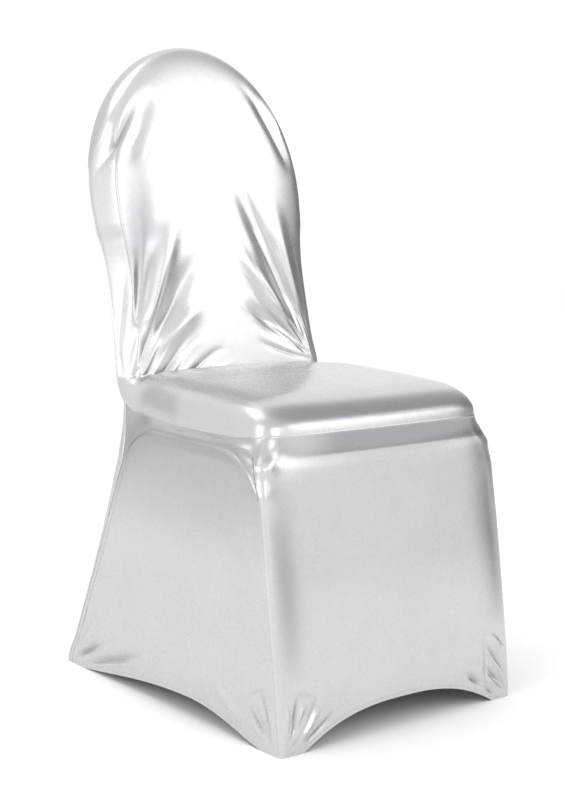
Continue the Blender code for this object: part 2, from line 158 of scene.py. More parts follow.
LEAN = math.radians(10.5)
BACK_HALF = 0.024  # half of the padded back's thickness
BACK_CROWN = 0.006
WIDEST_AT = 0.306  # up the back from the seat's seam, as every distance up the back is
BACK_TOP = 0.533
BACK_EDGE = 22  # power of the round edge: the higher, the tighter
REAR_ROUND = 5
SIDE_WALL = 0.12  # share of the half width that the flat left wall takes
WALL_CORNER = 0.12
WALL_FROM, WALL_FULL = 0.6, 0.9  # shares of the half width where the wall begins and is full
WALL_UP, WALL_GONE = 0.34, 0.43  # up the back: the wall fades into the round top
REAR_SHARE = 0.9
# Half width of the back and how far its middle sheet stands behind the seam line, up the back
BACK_SIZES = {
    "up": (0.041, 0.086, 0.12, 0.165, 0.20, 0.236, 0.266, 0.306, 0.42, 0.533),
    "half": (0.181, 0.1765, 0.1755, 0.175, 0.1755, 0.179, 0.184, 0.186, 0.186, 0.186),
    "behind": (0.0, 0.003, 0.0055, 0.0085, 0.0105, 0.0125, 0.014, 0.0155, 0.014, 0.009),
}
CORNER_Y = 0.1355
SEAM_Z = 0.400
JOIN_RADIUS = 0.050
SEAT_FRONT = -0.2285
SEAT_ROUND = 0.19  # run of the part of the seat with the round front corners
SEAT_ROUNDNESS = 10
SEAT_BOW = 0.008
SEAT_CROWN = 0.004
SEAT_EDGE = 12
# Half width of the seat, how far its top rises over the seam and how far the seam drops, front to rear
SEAT_SIZES = {
    "y": (-0.2285, -0.16, -0.0385, 0.02, 0.09),
    "half": (0.198, 0.198, 0.198, 0.191, 0.181),
    "rise": (0.032, 0.0485, 0.0555, 0.057, 0.052),
    "drop": (0.0035, 0.009, 0.0085, 0.0065, 0.0035),
}
# The grid of the cloth: columns across, and rows down each part of the panel
ACROSS = 240
ROWS_TOP, ROWS_BACK, ROWS_JOIN, ROWS_SEAT, ROWS_FRONT = 44, 130, 25, 32, 38
JOIN_SPLIT = 15  # row of the join where the outer back goes over to the skirt
EDGE_CROWDING = 0.72

TURN = math.pi / 2 - LEAN
JOIN_START = JOIN_RADIUS * math.tan(TURN / 2)
UP_BACK = np.array([math.sin(LEAN), math.cos(LEAN)])
OUT_BACK = np.array([-math.cos(LEAN), math.sin(LEAN)])

# Broad folds: the same ones as in the solids. Each fan has its X and height on the crease, then a
# row for each fold: angle in degrees, reach, half width and height
FANS = (
    (
        (-0.158, 0.452),
        (
            (80, 0.23, 0.015, -0.004),
            (68, 0.27, 0.017, 0.006),
            (54, 0.22, 0.016, -0.005),
            (38, 0.16, 0.015, 0.005),
        ),
    ),
    (
        (0.158, 0.462),
        (
            (101, 0.26, 0.016, 0.004),
            (113, 0.32, 0.018, -0.006),
            (127, 0.24, 0.016, 0.005),
            (148, 0.15, 0.014, -0.005),
        ),
    ),
)
# Soft dents at the shoulders: X, height, angle, half length, half width and depth
SHOULDERS = ((-0.118, 0.795, 64, 0.075, 0.013, -0.003), (0.135, 0.800, 118, 0.080, 0.013, -0.004))
FAN_NARROW = 0.6  # width of a broad fold at its root, as a share of its width at its reach
FAN_FROM, FAN_FULL, FAN_FADES = 0.03, 0.10, 0.6

FOLD_SHARE = 0.68  # of the heights below: what the pull of the chair leaves of each fold
SOFT_FOLD = 6.8 * MM  # wider folds than this have round tops
CREST_SHARP = 2.2
FOLD_REACH = 3.6  # half widths away from its line where a fold has died out
BEND_STEPS = 12

# Sharp folds, in millimetres. Each has three places as X and the distance up the back from the
# crease (below zero on the seat), then its half width and its height, below zero for a trough
SHARP_FOLDS = (
    (-168, 206, -172, 152, -174, 95, 4.0, 1.2),
    (-151, 243, -165, 151, -176, 65, 5.0, -1.8),
    (-143, 221, -159, 135, -178, 21, 6.5, 2.2),
    (-119, 242, -146, 149, -167, 64, 7.0, -2.0),
    (-76, 283, -127, 162, -178, 13, 7.0, 2.4),
    (-88, 219, -115, 147, -173, 22, 6.5, -2.9),
    (-76, 183, -93, 154, -108, 127, 3.5, 1.4),
    (-73, 168, -88, 139, -117, 101, 6.0, -2.1),
    (-104, 118, -135, 68, -178, 12, 5.0, 2.4),
    (-62, 107, -103, 59, -170, -10, 6.5, -2.7),
    (-94, 92, -124, 57, -165, 0, 3.5, 1.1),
    (-46, 84, -85, 58, -165, -15, 4.0, 1.8),
    (-56, 77, -86, 57, -130, 0, 3.5, -1.4),
    (-54, 64, -105, 20, -165, -50, 4.0, 1.8),
    (-2, 67, -50, 54, -150, -30, 6.0, -2.7),
    (13, 51, -60, 20, -155, -60, 5.0, 2.1),
    (-184, -108, -183, -80, -181, -59, 5.0, 1.6),
    (-120, 345, -143, 236, -163, 107, 20.0, -0.9),
    (40, 366, 92, 238, 149, 84, 3.5, -1.8),
    (50, 283, 100, 206, 145, 89, 3.2, 1.4),
    (104, 261, 123, 186, 159, 81, 3.2, 1.4),
    (45, 252, 72, 174, 143, 77, 7.0, -1.9),
    (71, 159, 102, 127, 145, 86, 2.8, 0.9),
    (40, 180, 78, 126, 142, 69, 5.5, -2.4),
    (80, 101, 109, 81, 147, 61, 2.8, 1.1),
    (86, 95, 118, 75, 158, 56, 3.5, -1.4),
    (67, 86, 106, 66, 147, 50, 2.8, 1.1),
    (54, 85, 86, 67, 167, 45, 5.0, -2.1),
    (-94, 474, -137, 404, -173, 344, 8.0, -6.5),
    (-112, 417, -144, 374, -174, 328, 3.5, -1.2),
    (-122, 409, -153, 367, -176, 337, 3.0, 1.1),
    (-94, 423, -117, 387, -141, 364, 3.5, -1.1),
    (-88, 399, -100, 373, -115, 348, 3.0, -0.8),
    (-121, 454, -140, 433, -153, 414, 3.0, -1.1),
    (-108, 481, -145, 431, -171, 372, 3.5, -1.4),
    (60, 494, 110, 434, 150, 357, 7.0, -3.2),
    (97, 486, 132, 443, 150, 400, 3.5, 1.4),
    (-181, -103, -189, -212, -178, -323, 5.0, 1.3),
    (-174, -123, -173, -201, -171, -323, 5.0, 1.0),
    (-40, -149, 15, -144, 81, -126, 3.5, -0.8),
    (-31, -184, 10, -172, 54, -159, 3.5, -0.8),
)

# Wide slopes of the back under the folds, in the same way
SLOPES = (
    (168, 420, 172, 230, 160, 50, 36.0, -6.4),
    (100, 300, 120, 190, 140, 60, 34.0, -1.2),
    (-124, 400, -134, 250, -146, 100, 24.0, -4.8),
)


def read(table, column, at, key="z"):
    """Smooth values of one column of a table, at any place along its key column."""
    x = np.asarray(table[key], float)
    y = np.asarray(table[column], float)
    at = np.clip(np.asarray(at, float), x[0], x[-1])
    step = np.diff(x)
    slope = np.diff(y) / step
    tangent = np.zeros_like(y)
    same = slope[:-1] * slope[1:] > 0
    mean = 2 * slope[:-1] * slope[1:] / np.where(same, slope[:-1] + slope[1:], 1)
    tangent[1:-1] = np.where(same, mean, 0)
    i = np.clip(np.searchsorted(x, at, side="right") - 1, 0, len(step) - 1)
    t = (at - x[i]) / step[i]
    a, b = y[i], y[i + 1]
    ta, tb = tangent[i] * step[i], tangent[i + 1] * step[i]
    ends = ((2 * t - 3) * t * t + 1) * a + (3 - 2 * t) * t * t * b
    return ends + ((t - 2) * t + 1) * t * ta + (t - 1) * t * t * tb


def ease(value, low, high):
    """0 below low, 1 above high, and smooth between."""
    t = np.clip((value - low) / (high - low), 0, 1)
    return t * t * (3 - 2 * t)


def crowded(count, start=-1.0):
    """Steps from start to 1, closer together towards each end that is at -1 or 1."""
    u = np.linspace(start, 1, count + 1)
    return (1 - EDGE_CROWDING) * u + EDGE_CROWDING * np.sin(u * math.pi / 2)


def rounded(a, b, power):
    """Moves a point of a square onto a shape with round corners, and says how near its rim it is."""
    x = a * (1 - np.abs(b) ** power / 2) ** (1 / power)
    y = b * (1 - np.abs(a) ** power / 2) ** (1 / power)
    return x, y, (np.abs(x) ** power + np.abs(y) ** power) ** (1 / power)


def broad_folds(x, z):
    """Height of the broad folds at a place seen from the front."""
    total = np.zeros_like(x)
    for (fan_x, fan_z), folds in FANS:
        away = np.hypot(x - fan_x, z - fan_z)
        turn = np.arctan2(z - fan_z, x - fan_x)
        for angle, reach, half, height in folds:
            across = away * np.sin(np.clip(turn - math.radians(angle), -1.5, 1.5))
            width = half * (FAN_NARROW + (1 - FAN_NARROW) * np.clip(away / reach, 0, 1))
            along = ease(away, FAN_FROM, FAN_FULL) * (1 - ease(away, FAN_FADES * reach, reach))
            total += height * np.exp(-((across / width) ** 2)) * along
    for x0, z0, angle, half_long, half, height in SHOULDERS:
        c, s = math.cos(math.radians(angle)), math.sin(math.radians(angle))
        along = (x - x0) * c + (z - z0) * s
        across = (z - z0) * c - (x - x0) * s
        total += height * np.exp(-((across / half) ** 2)) * (1 - ease(np.abs(along), 0.4 * half_long, half_long))
    return total


def sharp_folds(flat_x, flat_y, table, fan=False):
    """Height of folds on bent lines, on a flat drawing. A fan's folds are narrow at their last place."""
    total = np.zeros_like(flat_x)
    t = np.linspace(0, 1, BEND_STEPS + 1)[:, None]
    for row in table:
        ends = np.array(row[:6]).reshape(3, 2) * MM
        half, height = row[6] * MM, row[7] * MM
        bend = 2 * ends[1] - (ends[0] + ends[2]) / 2
        line = (1 - t) ** 2 * ends[0] + 2 * t * (1 - t) * bend + t * t * ends[2]
        low, high = line.min(0) - FOLD_REACH * half, line.max(0) + FOLD_REACH * half
        near = (flat_x > low[0]) & (flat_x < high[0]) & (flat_y > low[1]) & (flat_y < high[1])
        here = np.stack([flat_x[near], flat_y[near]], -1)
        best = np.full(len(here), np.inf)
        share = np.zeros(len(here))
        for k in range(len(line) - 1):
            way = line[k + 1] - line[k]
            along = np.clip((here - line[k]) @ way / (way @ way), 0, 1)
            away = np.linalg.norm(here - line[k] - along[:, None] * way, axis=1)
            closer = away < best
            best = np.where(closer, away, best)
            share = np.where(closer, (k + along) / (len(line) - 1), share)
        if fan:
            width = half * (1.25 - 0.7 * share)
            taper = ease(share, 0, 0.65) * (1 - 0.75 * ease(share, 0.75, 1))
        else:
            width, taper = half, np.sin(math.pi * share)
        if half < SOFT_FOLD:
            crest = np.exp(1 - np.sqrt(1 + (CREST_SHARP * best / width) ** 2))
        else:
            crest = np.exp(-((best / width) ** 2))
        total[near] += height * crest * taper
    return total


chance = np.random.default_rng(11)


def pulled_folds(corner, angles, lengths, halves, heights, count):
    """Rows of a fold table for fine creases that fan out from a corner, in millimetres."""
    made = []
    for k in range(count):
        angle = math.radians(angles[0] + (angles[1] - angles[0]) * (k + chance.uniform(0.1, 0.9)) / count)
        length, start = chance.uniform(*lengths), chance.uniform(0.04, 0.2)
        way = np.array([math.cos(angle), math.sin(angle)])
        bend = np.array([-way[1], way[0]]) * length * chance.uniform(-0.05, 0.05)
        far, middle, near = (np.array(corner) + way * length * part for part in (1, 0.55, start))
        height = chance.uniform(*heights) * (1 if chance.random() < 0.55 else -1)
        made.append((*far, *(middle + bend), *near, chance.uniform(*halves), height))
    return tuple(made)


def pad_rows():
    """Rows of the panel from the top edge to the front seam: the part of the pad, and the place in it."""
    rows = [("top", b) for b in crowded(ROWS_TOP, 0.0)[::-1]]
    rows += [("back", up) for up in np.linspace(WIDEST_AT, JOIN_START, ROWS_BACK + 1)[1:]]
    rows += [("join", turn) for turn in np.linspace(0, TURN, ROWS_JOIN + 1)[1:]]
    seat_start = CORNER_Y - JOIN_START
    rows += [("seat", y) for y in np.linspace(seat_start, SEAT_FRONT + SEAT_ROUND, ROWS_SEAT + 1)[1:]]
    rows += [("front", b) for b in crowded(ROWS_FRONT, 0.0)[1:]]
    return rows


def pad_point(kind, value, a):
    """One row of the panel, the row of the outer back behind it, and how far up the flat cloth it is."""
    corner = np.array([CORNER_Y, SEAM_Z])
    rear = None
    if kind in ("top", "back"):
        if kind == "top":
            x, q, rim = rounded(a, np.full_like(a, value), 2)
            up = WIDEST_AT + (BACK_TOP - WIDEST_AT) * q
        else:
            x, rim = a, np.abs(a)
            up = np.full_like(a, value)
        half, behind = read(BACK_SIZES, "half", up, "up"), read(BACK_SIZES, "behind", up, "up")
        sheet = corner + up[:, None] * UP_BACK - behind[:, None] * OUT_BACK
        out = np.tile(OUT_BACK, (len(a), 1))
        rise, crown, edge = BACK_HALF + behind, BACK_CROWN, BACK_EDGE
        level = up
    elif kind == "join":
        share = value / TURN
        x, rim = a, np.abs(a)
        half = (1 - share) * BACK_SIZES["half"][0] + share * SEAT_SIZES["half"][-1]
        way = np.array([-math.cos(LEAN + value), math.sin(LEAN + value)])
        centre = corner + JOIN_START * UP_BACK + JOIN_RADIUS * OUT_BACK
        drop = [0, SEAT_SIZES["drop"][-1] * ease(share, 0.3, 1)]
        sheet = np.tile(centre - JOIN_RADIUS * way - drop, (len(a), 1))
        out = np.tile(way, (len(a), 1))
        soft = ease(share, 0, 1)
        rise = BACK_HALF + (SEAT_SIZES["rise"][-1] - BACK_HALF) * soft
        crown = BACK_CROWN + (SEAT_CROWN - BACK_CROWN) * soft
        edge = BACK_EDGE + (SEAT_EDGE - BACK_EDGE) * soft
        level = np.full_like(a, JOIN_START * (1 - 2 * share))
    else:
        start = SEAT_FRONT + SEAT_ROUND
        if kind == "seat":
            x, rim, y = a, np.abs(a), np.full_like(a, value)
        else:
            x, q, rim = rounded(a, np.full_like(a, value), SEAT_ROUNDNESS)
            y = start - q * (SEAT_ROUND - SEAT_BOW * x * x)
        half = read(SEAT_SIZES, "half", y, "y")
        sheet = np.stack([y, SEAM_Z - read(SEAT_SIZES, "drop", y, "y")], 1)
        out = np.tile([0.0, 1.0], (len(a), 1))
        rise, crown, edge = read(SEAT_SIZES, "rise", y, "y"), SEAT_CROWN, SEAT_EDGE
        level = y - CORNER_Y
    rim = np.clip(rim, 0, 1)
    lift = rise * np.sqrt(1 - rim**edge) + crown * (1 - rim**2)
    front = np.column_stack([x * half, sheet + out * lift[:, None]])
    if kind in ("top", "back"):
        wall = (1 - rim) / SIDE_WALL
        wall = np.clip((wall + 1 - np.hypot(wall - 1, WALL_CORNER)) / 2, 0, 1)
        boxy = rise * (wall - np.sqrt(1 - rim**edge))
        boxy = boxy * ease(-x, WALL_FROM, WALL_FULL) * (1 - ease(up, WALL_UP, WALL_GONE))
        front[:, 1:] += out * boxy[:, None]
        front[:, 1:] += out * (broad_folds(front[:, 0], front[:, 2]) * (1 - rim**10))[:, None]
        depth = (BACK_HALF - REAR_SHARE * behind) * np.sqrt(1 - rim**REAR_ROUND)
        rear = np.column_stack([x * half, sheet - out * depth[:, None]])
    elif kind == "join":
        middle = CORNER_Y + (sheet[:, 1] - SEAM_Z) * math.tan(LEAN) + BACK_HALF / math.cos(LEAN)
        y = sheet[:, 0] + (middle - sheet[:, 0]) * np.sqrt(1 - rim**REAR_ROUND)
        rear = np.column_stack([x * half, y, sheet[:, 1]])
    return front, rear, np.column_stack([x * half, level]), rim


def grid_normals(grid, turned):
    """Outward direction at every point of a grid of places."""
    down, across = np.gradient(grid, axis=0), np.gradient(grid, axis=1)
    normal = np.cross(down, across)
    length = np.linalg.norm(normal, axis=-1, keepdims=True)
    normal = normal / np.where(length > 1e-12, length, 1)
    return -normal if turned else normal


DRAWN_CLOTH = 0.8 * MM
# The cloth stands up a little along each seam, and dips a little at each stitch
SEAM_RISE = 0.3 * MM
SEAM_WIDTH = 1.5 * MM
STITCH_PITCH = 5.0 * MM
STITCH_DEPTH = 0.06 * MM
# The hem is turned up and sewn: a groove runs along it
HEM_DEEP = 3.5 * MM
HEM_GROOVE = 0.5 * MM
HEM_STITCH = 1.0 * MM
FULL_SHADE = 4.5 * MM  # a trough this deep gets the full painted shade


def joined(grids):
    """Points, ways out, fold heights, shades and faces of grids whose shared edges become one."""
    index, points, ways, heights, shades, quads = {}, [], [], [], [], []
    for places, normals, folds, shade, keep in grids:
        ids = -np.ones(places.shape[:2], int)
        for r, c in np.argwhere(keep):
            for rr, cc in ((r, c), (r + 1, c), (r + 1, c + 1), (r, c + 1)):
                if ids[rr, cc] < 0:
                    key = tuple(np.round(places[rr, cc], 6) + 0.0)
                    if key not in index:
                        index[key] = len(points)
                        points.append(places[rr, cc])
                        ways.append(normals[rr, cc])
                        heights.append(folds[rr, cc])
                        shades.append(shade[rr, cc])
                    else:
                        ways[index[key]] = ways[index[key]] + normals[rr, cc]
                    ids[rr, cc] = index[key]
            quad = [ids[r, c], ids[r + 1, c], ids[r + 1, c + 1], ids[r, c + 1]]
            if len(set(quad)) > 2:
                quads.append(list(dict.fromkeys(quad)))
    points, ways, heights = np.array(points), np.array(ways), np.array(heights)
    ways /= np.maximum(np.linalg.norm(ways, axis=1), 1e-9)[:, None]
    return points, ways, heights, np.array(shades), quads


def open_border(quads):
    """Numbers of the points along the open edges of a sheet."""
    edges = {}
    for quad in quads:
        for k in range(len(quad)):
            edge = frozenset((quad[k], quad[(k + 1) % len(quad)]))
            edges[edge] = edges.get(edge, 0) + 1
    return sorted({v for edge, count in edges.items() if count == 1 for v in edge})


def away_from(points, group):
    """Distance of every point from the nearest one of a group."""
    tree = KDTree(len(group))
    for n, v in enumerate(group):
        tree.insert(Vector(points[v]), n)
    tree.balance()
    return np.array([tree.find(Vector(p))[2] for p in points])


def face_out(mesh):
    """Turns the faces of a sheet outwards, by the one that stands farthest from the middle."""
    form = bmesh.new()
    form.from_mesh(mesh)
    bmesh.ops.recalc_face_normals(form, faces=form.faces)
    face = max(form.faces, key=lambda f: abs(f.calc_center_median().x) + abs(f.calc_center_median().y))
    centre = face.calc_center_median()
    if face.normal.dot(Vector((centre.x, centre.y, 0))) < 0:
        bmesh.ops.reverse_faces(form, faces=form.faces)
    form.to_mesh(mesh)
    form.free()


def cloth_piece(name, grids, hem=None, double=True):
    """A sheet of cloth from grids that share edges: (places, normals, fold heights, painted shade, keep)."""
    points, ways, heights, shades, quads = joined(grids)
    border = open_border(quads)
    hem_points = [v for v in border if hem is not None and hem(points[v])]
    seam_points = sorted(set(border) - set(hem_points))
    run = points[:, 0] + points[:, 1] + points[:, 2]
    stitch = np.cos(2 * math.pi * run / STITCH_PITCH) * STITCH_DEPTH
    near_seam = np.exp(-((away_from(points, seam_points) / SEAM_WIDTH) ** 2))
    shift = heights + (stitch + SEAM_RISE) * near_seam
    if hem_points:
        in_groove = np.exp(-(((away_from(points, hem_points) - HEM_DEEP) / HEM_STITCH) ** 2))
        shift = shift - HEM_GROOVE * in_groove
    points = points + ways * shift[:, None]
    mesh = bpy.data.meshes.new(name)
    mesh.from_pydata([Vector(p) for p in points], [], [[int(i) for i in q] for q in quads])
    depth = mesh.attributes.new("painted_fold_shade", "FLOAT", "POINT")
    # Painted shade: troughs, the hem's groove and the given shades darken the coat's colour
    painted_darkness = np.clip(-shift / FULL_SHADE + shades, 0, 1)
    depth.data.foreach_set("value", painted_darkness.astype(np.float32))
    face_out(mesh)
    for polygon in mesh.polygons:
        polygon.use_smooth = True
    piece = bpy.data.objects.new(name, mesh)
    bpy.context.scene.collection.objects.link(piece)
    if double:
        wall = piece.modifiers.new("thickness", "SOLIDIFY")
        wall.thickness = DRAWN_CLOTH
        wall.offset = -1
    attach(piece, "root")
    return piece


columns = crowded(ACROSS)
rows = [pad_point(kind, value, columns) for kind, value in pad_rows()]
pad = np.array([row[0] for row in rows])
flat_pad = np.array([row[2] for row in rows])
pad_rim = np.array([row[3] for row in rows])
last_back = ROWS_TOP + ROWS_BACK + JOIN_SPLIT
rear_columns = columns[::2]
rear_pad = np.array([row[1] for row in rows[: last_back + 1]])[:, ::2]
# Fine creases between the others, out of the two ends of the crease and the left shoulder
fine_pulls = pulled_folds((-176, -6), (96, 28), (70, 230), (2.2, 3.6), (0.4, 0.9), 16)
fine_pulls += pulled_folds((160, 44), (94, 152), (60, 250), (2.2, 3.6), (0.4, 0.9), 15)
fine_pulls += pulled_folds((-186, 325), (72, 52), (60, 150), (2.0, 3.2), (0.3, 0.7), 8)
pad_folds = sharp_folds(flat_pad[..., 0], flat_pad[..., 1], SHARP_FOLDS + fine_pulls, fan=True)
pad_folds += sharp_folds(flat_pad[..., 0], flat_pad[..., 1], SLOPES)
pad_folds *= FOLD_SHARE * (1 - pad_rim**14)

# Painted shade where the cloth bends over the edge of the seat, and a darker band along the rim of the back
ROLL_SHADE = 0.85
RIM_SHADE = 0.35
forward = np.array([value if kind == "front" else 0 for kind, value in pad_rows()])[:, None]
roll_shade = ROLL_SHADE * ease(forward, 0.80, 0.90) * (1 - ease(forward, 0.982, 0.995)) * (1 - columns**8)
up_back = np.array([kind in ("top", "back") for kind, value in pad_rows()])[:, None]
roll_shade += up_back * RIM_SHADE * ease(pad_rim, 0.975, 0.99)
seat_back = cloth_piece(
    "seat_back_cloth",
    [(pad, grid_normals(pad, False), pad_folds, roll_shade, np.ones(np.subtract(pad.shape[:2], 1), bool))],
    double=False,
)
seat_back.data.materials.append(foil_coated_knit("foil_knit_seat_back"))
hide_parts("seat_back_panel")


# ---------------------------------------------------------------- Outer back panel
# The plain piece behind, cut from the top seam down to the rear hem. Below the seat it opens out
# over the rear legs, and its hem rises between the feet.

# The arch seam of the side panels ends at the strips beside the legs
ARCH_TOP = 0.376
ARCH_FRONT = {"set_in": 0.006, "z": 0.315, "run": 0.088}
ARCH_REAR = {"set_in": 0.0095, "z": 0.330, "run": 0.080}
ARCH_POWER = 2.1
SIDE_HOLLOW = 0.009
# The hem's height between the feet, and the length of the hem that lies on the floor at each foot
HEM_FRONT = 0.040
HEM_SIDE = 0.027
HEM_REAR = 0.036
HEM_SIDE_PEAK = -0.065
FOOT = 0.036
REAR_EDGE = 9
# The outside of the skirt by height: half widths, places front to rear, and radius of the front corners
LEGS = {
    "z": (0.0, 0.05, 0.10, 0.20, 0.30, 0.33, 0.355, 0.375, 0.41),
    "front_half": (0.2055, 0.206, 0.2062, 0.2067, 0.2075, 0.209, 0.2095, 0.2045, 0.198),
    "front_y": (-0.269, -0.2655, -0.260, -0.2475, -0.2335, -0.2285, -0.222, -0.215, -0.213),
    "corner": (0.010, 0.010, 0.010, 0.011, 0.014, 0.018, 0.024, 0.032, 0.040),
    "rear_half": (0.203, 0.202, 0.201, 0.199, 0.196, 0.193, 0.188, 0.184, 0.181),
    "rear_y": (0.258, 0.234, 0.2105, 0.1635, 0.1215, 0.1115, 0.1125, 0.1165, 0.119),
    "rear_middle": (0.269, 0.249, 0.229, 0.192, 0.162, 0.157, 0.156, 0.157, 0.161),
}
ROWS_BAND, ROWS_SKIRT = 34, 84
SKIRT_STEPS = 1 - (1 - np.linspace(0, 1, ROWS_SKIRT + 1)) ** 1.5  # closer together near the hem


def legs(name, z):
    """One measure of the skirt at a height."""
    return read(LEGS, name, z)


def rear_plan(a, z):
    """Outside of the skirt across the rear."""
    y = legs("rear_y", z) + (legs("rear_middle", z) - legs("rear_y", z)) * np.sqrt(1 - np.abs(a) ** REAR_EDGE)
    return np.stack([a * legs("rear_half", z), y, z], -1)


def hem_across(x, half, height):
    """Height of the hem between two feet that stand side by side."""
    return height * np.clip(1 - np.abs(x / (half - FOOT)) ** 2.6, 0, None)


def skirt_across(across, top, plan, level, hem):
    """Front or rear of the skirt: down from the row above it to a level, then on to the hem."""
    fix = top - plan(across, top[:, 2])
    made = []
    for step in np.linspace(0, 1, ROWS_BAND + 1):
        z = top[:, 2] + (level - top[:, 2]) * step
        made.append(plan(across, z) + fix * (1 - ease(step, 0, 0.8)) * [1, 1, 0])
    for step in SKIRT_STEPS[1:]:
        made.append(plan(across, level + (hem - level) * step))
    made[0] = top
    return np.array(made)


def at_hem(point):
    """True for the loose edge at the floor, which rises between the feet."""
    x, y, z = point
    if y < -0.19:
        edge = hem_across(np.array(x), 0.2055, HEM_FRONT)
    elif y > 0.18:
        edge = hem_across(np.array(x), 0.2055, HEM_REAR)
    else:
        edge = HEM_SIDE
    return z < edge + 0.001


rear_hem = hem_across(rear_columns * LEGS["front_half"][0], LEGS["front_half"][0], HEM_REAR)
rear_skirt = skirt_across(rear_columns, rear_pad[-1], rear_plan, ARCH_REAR["z"], rear_hem)

# Soft pulls across the hidden side: cloth strained between the rear feet, and off the shoulders
REAR_FOLDS = (
    (-60, 470, -120, 430, -165, 360, 9.0, -1.6),
    (60, 470, 120, 430, 165, 360, 9.0, -1.6),
    (-165, 60, -120, 130, -70, 200, 8.0, 1.6),
    (165, 60, 120, 130, 70, 200, 8.0, 1.6),
    (-168, 40, -95, 85, -20, 100, 8.0, -1.8),
    (168, 40, 95, 85, 20, 100, 8.0, -1.8),
)
REAR_FOOT_FOLDS = pulled_folds((-198, 4), (26, 80), (50, 130), (1.8, 3.2), (0.6, 1.2), 10)
REAR_FOOT_FOLDS += pulled_folds((198, 4), (154, 100), (50, 130), (1.8, 3.2), (0.6, 1.2), 10)
REAR_FOOT_FOLDS += (
    (-188, 14, -150, 50, -95, 90, 5.0, 1.7),
    (-190, 30, -168, 80, -140, 150, 5.0, -1.7),
    (-182, 6, -135, 26, -85, 52, 4.0, -1.6),
    (188, 14, 150, 50, 95, 90, 5.0, 1.7),
    (190, 30, 168, 80, 140, 150, 5.0, -1.7),
    (182, 6, 135, 26, 85, 52, 4.0, -1.6),
)
flat_rear = flat_pad[: last_back + 1, ::2]
rear_heights = sharp_folds(flat_rear[..., 0], flat_rear[..., 1], REAR_FOLDS)
rear_heights = rear_heights * (1 - pad_rim[: last_back + 1, ::2] ** 14)
skirt_heights = sharp_folds(rear_skirt[..., 0], rear_skirt[..., 2], REAR_FOOT_FOLDS)
skirt_heights = skirt_heights * (1 - np.abs(rear_columns) ** 14)
outer_back = cloth_piece(
    "outer_back_cloth",
    [
        (
            rear_pad,
            grid_normals(rear_pad, True),
            rear_heights,
            np.zeros_like(rear_heights),
            np.ones(np.subtract(rear_pad.shape[:2], 1), bool),
        ),
        (
            rear_skirt,
            grid_normals(rear_skirt, True),
            skirt_heights,
            np.zeros_like(skirt_heights),
            np.ones(np.subtract(rear_skirt.shape[:2], 1), bool),
        ),
    ],
    at_hem,
)
outer_back.data.materials.append(foil_coated_knit("foil_knit_outer_back"))
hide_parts("outer_back_panel")


# ---------------------------------------------------------------- Skirt
# The front of the skirt with the band that runs back under the seat seam on both sides. It hangs
# straight from the knees to the front feet and is pulled tight between them.

# Down the middle of the front: under the seat seam the cloth tucks in, then it runs to the hem
# almost straight. Towards the corners it follows the table of the legs
FRONT_MIDDLE = {
    "z": (0.0, 0.05, 0.10, 0.20, 0.25, 0.30, 0.33, 0.350, 0.369, 0.3715, 0.402),
    "y": (-0.2695, -0.2672, -0.2625, -0.2515, -0.2440, -0.2364, -0.2319, -0.2291, -0.2262, -0.2261, -0.2288),
}
TUCK_LIFT = 0.006  # how much higher the tuck sits at the corners
BOW_POWER = 8
BAND_DEPTH = 0.030  # the tucked band under the seat seam, painted with shade this far down
BAND_SHADE = 0.95
BAND_SOFT = 1.5 * MM
# painted shade high on the sides, under the seat
HIGH_SHADE = 0.55
STRIP_COLUMNS = 3


def front_plan(a, z):
    """Outside of the skirt across the front, from the middle of one round corner to the other."""
    half, corner = legs("front_half", z), legs("corner", z)
    straight = half - corner
    run = np.abs(a) * (straight + corner * math.pi / 4)
    turn = np.clip(run - straight, 0, None) / corner
    x = np.minimum(run, straight) + corner * np.sin(turn)
    bulge = read(FRONT_MIDDLE, "y", z - TUCK_LIFT * a**4) - legs("front_y", z)
    y = legs("front_y", z) + corner * (1 - np.cos(turn)) + bulge * (1 - (x / half) ** BOW_POWER)
    return np.stack([np.sign(a) * x, y, z], -1)


def side_x(y, z):
    """Half width of the skirt's side, and of the round front corner that it grows from."""
    half, corner = legs("front_half", z), legs("corner", z)
    start = legs("front_y", z) + corner
    line = half + (legs("rear_half", z) - half) * np.clip((y - start) / (legs("rear_y", z) - start), 0, 1)
    inside = np.clip(start - y, 0, corner)
    return line - corner + np.sqrt(corner**2 - inside**2)


def side_edges(z):
    """Y of the two edges of the side panel at a height."""
    return legs("front_y", z) + ARCH_FRONT["set_in"], legs("rear_y", z) - ARCH_REAR["set_in"]


def arch(y, low, high):
    """Height of the arch seam by Y."""
    up = np.full_like(y, ARCH_TOP)
    for end, sign, part in ((low, 1, ARCH_FRONT), (high, -1, ARCH_REAR)):
        left = np.clip(1 - sign * (y - end) / part["run"], 0, 1)
        up -= (ARCH_TOP - part["z"]) * (1 - (1 - left**ARCH_POWER) ** (1 / ARCH_POWER))
    return up


def hem_side(y):
    """Height of the hem between the front and rear feet, by Y."""
    ends = LEGS["front_y"][0] + FOOT, LEGS["rear_y"][0] - FOOT
    span = np.where(y < HEM_SIDE_PEAK, HEM_SIDE_PEAK - ends[0], ends[1] - HEM_SIDE_PEAK)
    return HEM_SIDE * np.clip(1 - ((y - HEM_SIDE_PEAK) / span) ** 2, 0, None) ** 1.5


def with_strips(front, near, far, rear, share):
    """Y along a row of the side: a narrow strip to each leg's corner, and the panel between them."""
    strip = np.linspace(0, 1, STRIP_COLUMNS + 1)
    return np.concatenate(
        [front + (near - front) * strip[:-1], near + share * (far - near), far + (rear - far) * strip[1:]]
    )


